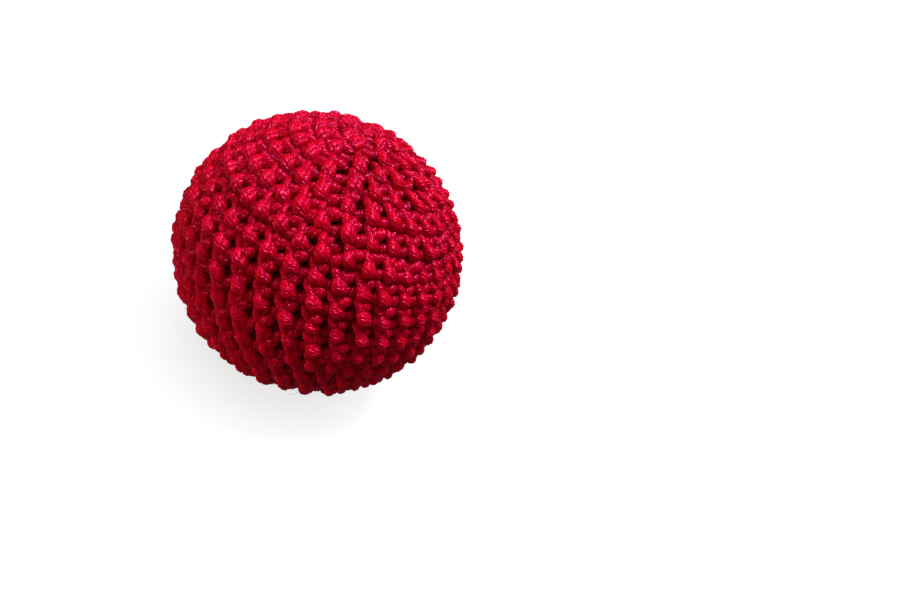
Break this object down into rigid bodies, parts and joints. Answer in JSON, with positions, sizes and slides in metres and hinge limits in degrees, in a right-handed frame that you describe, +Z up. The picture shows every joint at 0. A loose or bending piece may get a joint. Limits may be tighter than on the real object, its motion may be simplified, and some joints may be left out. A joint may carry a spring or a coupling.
{
  "type": "juggling ball",
  "caption": "Round juggling ball with a crocheted satin yarn cover over wadding and a tied pouch of pellets, settled on a small flat foot.",
  "frame": {"origin": "centre of the flat foot, on the surface that the ball rests on", "axes": "+Z up, from the start ring of the crochet spiral to its closed end; the ball is round about Z, so +X and +Y are free"},
  "size_m": [0.064, 0.064, 0.0615],
  "materials": {
    "yarn": "satin mercerised cotton, plied",
    "wadding": "matt polyester fibre",
    "pouch_cloth": "matt stretch knit",
    "tie_cord": "matt cotton cord",
    "pellets": "smooth"
  },
  "bodies": {
    "root": {"crochet_cover": "yarn", "start_ring": "yarn", "closing_drawstring": "yarn", "start_tail": "yarn", "closing_tail": "yarn", "wadding_upper": "wadding", "wadding_lower": "wadding", "liner_pouch": "pouch_cloth", "pouch_tie": "tie_cord", "pellet_fill": "pellets"}
  },
  "joints": []
}
